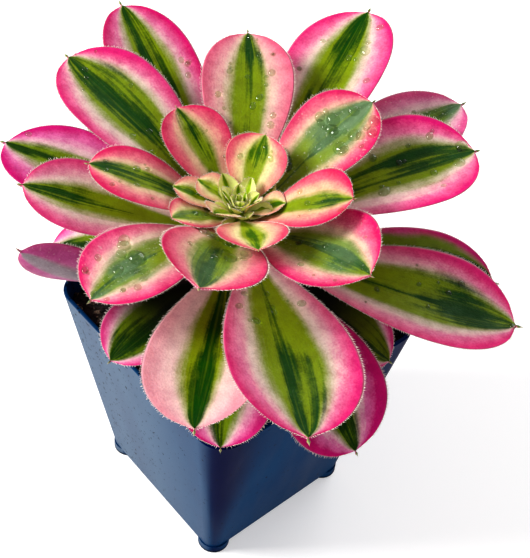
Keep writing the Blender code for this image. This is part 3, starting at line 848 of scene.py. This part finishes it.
def makePotMaterial():
    material, tree, shader = newMaterial("pot_plastic", IOR=potLook["refraction"])
    coordinates = tree.nodes.new("ShaderNodeTexCoord")
    place = coordinates.outputs["Object"]
    grain = useGroup(tree, fineGrain, Vector=place, Scale=2600.0, Mottle=38.0)
    apart, facing = (tree.nodes.new("ShaderNodeSeparateXYZ") for _ in range(2))
    feed(tree, place, apart.inputs[0])
    feed(tree, coordinates.outputs["Normal"], facing.inputs[0])
    x, y, z = apart.outputs
    front = facing.outputs[1]
    runs = noise(tree, joinVector(tree, *(times(tree, value, scale) for value, scale
                                          in zip((x, y, z), potLook["runScales"]))), 1.0, 4.0)
    faded = addScaled(tree, runs, 0.6, times(tree, grain["Mottle"], 0.4))
    shade = blendColours(tree, ramp(tree, faded, *potLook["fadedRuns"]), tint(*potLook["plastic"]),
                         tint(*potLook["faded"]))
    # painted light: a pale sheen painted on the front face, thinner towards its right
    paintedSheen = times(tree, ramp(tree, front, *potLook["paintedSheenFront"]), ramp(tree, runs, *potLook["paintedSheenRuns"]))
    paintedSheen = times(tree, paintedSheen, ramp(tree, x, *potLook["paintedSheenRight"]))
    shade = blendColours(tree, paintedSheen, shade, tint(*potLook["paintedSheen"]))
    dust = ramp(tree, noise(tree, place, potLook["dustScale"], 3.0, 0.7), *potLook["dustSpots"])
    shade = blendColours(tree, dust, shade, tint(*potLook["dust"]))
    # painted shade: darker upright corners, wider at the rim, narrower on the front, fainter on the left
    low, high = potLook["halfSides"]
    side = addScaled(tree, z, 2 * (high - low) / potLook["height"], 2 * low)
    inset = minus(tree, side, plus(tree, *(sumNode(tree, "ABSOLUTE", value) for value in (x, y))))
    reach = times(tree, ramp(tree, z, 0.0, potLook["height"], *potLook["cornerShadeWidths"]),
                  ramp(tree, front, *potLook["cornerShadeFront"]))
    corner = times(tree, ramp(tree, sumNode(tree, "DIVIDE", inset, reach), *potLook["cornerShadeSoft"]),
                   ramp(tree, x, *potLook["cornerShadeLeft"]))
    shade = blendColours(tree, corner, shade, tint(*potLook["corner"]))
    # specks of soil, more of them near the front left edge
    where = ramp(tree, plus(tree, x, y), *potLook["specksLeft"])
    speckAt = minus(tree, noise(tree, place, potLook["speckScale"], 2.0, 0.6), where)
    specks = ramp(tree, speckAt, *potLook["speckSpots"])
    shade = blendColours(tree, specks, shade, tint(*potLook["speck"]))
    # painted shadow along the base of the pot, where it meets the floor
    shade = blendColours(tree, ramp(tree, z, *potLook["contactShadowReach"]), shade, tint(*potLook["contactShadow"]))
    feed(tree, shade, shader.inputs["Base Color"])
    feed(tree, ramp(tree, runs, *potLook["roughness"]), shader.inputs["Roughness"])
    addBump(tree, shader, addScaled(tree, grain["Grain"], 0.3, runs), *potLook["relief"])
    return material


def makeSoilMaterial():
    material, tree, shader = newMaterial("potting_soil", Roughness=0.95)
    grain = useGroup(tree, fineGrain, Vector=objectPlace(tree), Scale=900.0, Mottle=220.0)
    shade = blendColours(tree, ramp(tree, grain["Mottle"], *soilLook["brownSpots"]),
                         tint(*soilLook["dark"]), tint(*soilLook["brown"]))
    shade = blendColours(tree, ramp(tree, grain["Grain"], *soilLook["paleSpots"]), shade,
                         tint(*soilLook["pale"]))
    feed(tree, shade, shader.inputs["Base Color"])
    addBump(tree, shader, plus(tree, grain["Grain"], grain["Mottle"]), *soilLook["relief"])
    return material


def makeStemMaterial():
    material, tree, shader = newMaterial("stem_bark", Roughness=0.8)
    place = objectPlace(tree)
    grain = useGroup(tree, fineGrain, Vector=place, Scale=1200.0, Mottle=300.0)
    cells = tree.nodes.new("ShaderNodeTexVoronoi")
    feed(tree, place, cells.inputs["Vector"])
    cells.inputs["Scale"].default_value = stemLook["scarScale"]
    scar = ramp(tree, cells.outputs["Distance"], *stemLook["scarEdge"])
    shade = blendColours(tree, grain["Mottle"], tint(*stemLook["bark"]), tint(*stemLook["deep"]))
    shade = blendColours(tree, times(tree, scar, stemLook["scarShare"]), shade, tint(*stemLook["scar"]))
    apart = tree.nodes.new("ShaderNodeSeparateXYZ")
    feed(tree, place, apart.inputs[0])
    top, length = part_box("stem")[1].z, stemLook["greenLength"]
    young = ramp(tree, apart.outputs[2], top - length, top - length * stemLook["greenFull"])
    shade = blendColours(tree, young, shade, tint(*stemLook["young"]))
    feed(tree, shade, shader.inputs["Base Color"])
    addBump(tree, shader, plus(tree, scar, grain["Grain"]), *stemLook["relief"])
    return material


def roughen(piece, look):  # small uneven lumps, from just under the soil's top upwards
    mesh, scale, seed = piece.data, look["lumpScale"], look["seed"]
    places = np.array([vert.co[:] for vert in mesh.vertices])
    normals = np.array([vert.normal[:] for vert in mesh.vertices])
    x, y, z = places.T
    lumps = sum(np.sin(x * scale * k + seed * k) * np.sin(y * scale * k * 1.1 + 2 * seed)
                * np.cos(z * scale * k + 3 * seed) / k for k in (1.0, 1.9, 3.7))
    places += normals * (lumps * look["lumpHeight"] * (z > soilHigh.z - look["edge"]))[:, None]
    mesh.vertices.foreach_set("co", places.ravel())
    mesh.update()


edgeAngle = math.radians(potLook["edgeAngle"])
pot = refinedCopy("pot", "pot_shell", makePotMaterial(), flatten=0.01)
pot.data.set_sharp_from_angle(angle=edgeAngle)
addModifier(pot, "BEVEL", width=potLook["edgeRound"], segments=potLook["edgeSteps"],
            limit_method="ANGLE", angle_limit=edgeAngle, harden_normals=True)
addModifier(pot, "WEIGHTED_NORMAL", keep_sharp=True)

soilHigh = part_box("soil")[1]
soil = refinedCopy("soil", "soil_bed", makeSoilMaterial())
addModifier(soil, "SUBSURF", levels=3, render_levels=3, subdivision_type="SIMPLE")
applyModifiers(soil)
roughen(soil, soilLook)

crumbLook = {
    "strewn": 150, "heaped": 40, "sizes": (0.0004, 0.0015),  # how many, and radii in metres
    "heap": ((-0.0445, -0.026), (-0.0455, -0.030)),  # x and y of the bed's front left corner
    "dark": (16, 12, 10), "pale": (150, 132, 108), "paleSpots": (0.6, 0.78),
    "stretch": ((0.8, 1.3), (0.7, 1.1), (0.5, 0.9)), "tip": 0.6, "uneven": (0.75, 1.15),
    "rarity": 2.5, "seated": 0.3,  # larger ones are rarer; how high the middle sits, in radii
    "lowest": 0.01, "from": 0.1,  # metres under the soil's top, and the height they fall from
    "relief": (0.8, 0.0006), "seed": 5,
}


def makeCrumbs():  # loose bits of soil and grit, lying on the bed and the rim
    material, tree, shader = newMaterial("soilCrumbs", Roughness=0.9)
    grain = useGroup(tree, fineGrain, Vector=objectPlace(tree), Scale=2600.0, Mottle=240.0)
    tone = ramp(tree, addScaled(tree, grain["Grain"], 0.25, grain["Mottle"]), *crumbLook["paleSpots"])
    feed(tree, blendColours(tree, tone, tint(*crumbLook["dark"]), tint(*crumbLook["pale"])),
         shader.inputs["Base Color"])
    addBump(tree, shader, grain["Grain"], *crumbLook["relief"])
    surfaces = [BVHTree.FromPolygons([vert.co for vert in piece.data.vertices],
                                     [face.vertices for face in piece.data.polygons])
                for piece in (soil, pot)]
    chance = random.Random(crumbLook["seed"])
    spots = [(chance.uniform(-soilHigh.x, soilHigh.x), chance.uniform(-soilHigh.x, soilHigh.x))
             for _ in range(crumbLook["strewn"])]
    spots += [tuple(chance.uniform(*ends) for ends in crumbLook["heap"])
              for _ in range(crumbLook["heaped"])]
    low, high = crumbLook["sizes"]
    points, faces = [], []
    for x, y in spots:
        hits = [surface.ray_cast(Vector((x, y, crumbLook["from"])), Vector((0, 0, -1)))[0]
                for surface in surfaces]
        spot = max(filter(None, hits), key=lambda hit: hit.z, default=None)
        if spot is None or spot.z < soilHigh.z - crumbLook["lowest"]:
            continue
        radius = low + (high - low) * chance.random() ** crumbLook["rarity"]
        lump = bmesh.new()
        bmesh.ops.create_icosphere(lump, subdivisions=2, radius=radius)
        stretch = Vector([chance.uniform(*ends) for ends in crumbLook["stretch"]])
        spin = (Matrix.Rotation(chance.uniform(0, math.tau), 3, "Z")
                @ Matrix.Rotation(chance.uniform(0, crumbLook["tip"]), 3, "X"))
        base, seat = len(points), spot + Vector((0, 0, radius * crumbLook["seated"]))
        points += [seat + spin @ (vert.co * stretch * chance.uniform(*crumbLook["uneven"]))
                   for vert in lump.verts]
        faces += [tuple(base + vert.index for vert in face.verts) for face in lump.faces]
        lump.free()
    newPiece("soil_crumbs", points, faces, material)


makeCrumbs()

stem = refinedCopy("stem", "stem_bark", makeStemMaterial())
addModifier(stem, "SUBSURF", levels=2, render_levels=2, subdivision_type="SIMPLE")
applyModifiers(stem)
roughen(stem, stemLook)
print("pot, soil and stem finished")

studio = {
    "reach": 4, "floor": (236, 236, 236), "glow": 0.32,  # of the floor: metres, screen values, strength
    "sky": 0.45, "aim": (0, 0, 0.1),
}
lights = {  # name: place, width, watts, colour
    "key": ((-0.75, -1.05, 0.95), 0.55, 27.0, (1.0, 0.98, 0.95)),
    "rear": ((-0.3, 1.1, 0.9), 0.8, 6.0, (1.0, 1.0, 1.0)),
}

floorMesh = bpy.data.meshes.new("floor")
floorMesh.from_pydata([(x * studio["reach"], y * studio["reach"], 0)
                       for x, y in ((-1, -1), (1, -1), (1, 1), (-1, 1))], [], [(0, 1, 2, 3)])
floor = newObject("floor", floorMesh)
floorMaterial, tree, shader = newMaterial(
    "paleFloor", Base_Color=tint(*studio["floor"]), Roughness=0.9,
    Emission_Color=(1, 1, 1, 1), Emission_Strength=studio["glow"])
floorMesh.materials.append(floorMaterial)

for name, (place, width, watts, colour) in lights.items():
    lamp = bpy.data.lights.new(name, "AREA")
    lamp.size, lamp.energy, lamp.color = width, watts, colour
    light = newObject(name, lamp)
    light.location = place
    light.rotation_euler = (Vector(studio["aim"]) - Vector(place)).to_track_quat("-Z", "Y").to_euler()

world = bpy.data.worlds.new("studio")
world.use_nodes = True
sky = world.node_tree.nodes["Background"].inputs
sky[0].default_value, sky[1].default_value = (1, 1, 1, 1), studio["sky"]
bpy.context.scene.world = world
bpy.context.scene.view_settings.view_transform = "Standard"
bpy.context.scene.view_settings.look = "Medium High Contrast"

cameraView = {
    "place": (0.1910, -0.1781, 0.3705),  # metres
    "azimuth": 47.0, "elevation": 46.0, "roll": -5.25,  # degrees
    "aside": (24.6 / 1094, 6.2 / 1094),  # how far the middle of the picture is from the line of sight
    "lens": 70.6,
}
turn = Matrix.Rotation(math.radians(cameraView["azimuth"]), 3, "Z")
tilt, roll = math.radians(cameraView["elevation"]), math.radians(cameraView["roll"])
back = turn @ Vector((0, -math.cos(tilt), math.sin(tilt)))
right = turn @ Vector((1, 0, 0))
up = back.cross(right)
right, up = math.cos(roll) * right - math.sin(roll) * up, math.sin(roll) * right + math.cos(roll) * up
back = (back - right * cameraView["aside"][0] - up * cameraView["aside"][1]).normalized()
right = (right - back * right.dot(back)).normalized()
up = back.cross(right)
camera = newObject("camera", bpy.data.cameras.new("camera"))
camera.data.lens = cameraView["lens"]
camera.data.clip_start, camera.data.clip_end = 0.01, 20
camera.matrix_world = (Matrix.Translation(cameraView["place"])
                       @ Matrix((right, up, back)).transposed().to_4x4())
bpy.context.scene.camera = camera
print("floor, light and camera set")
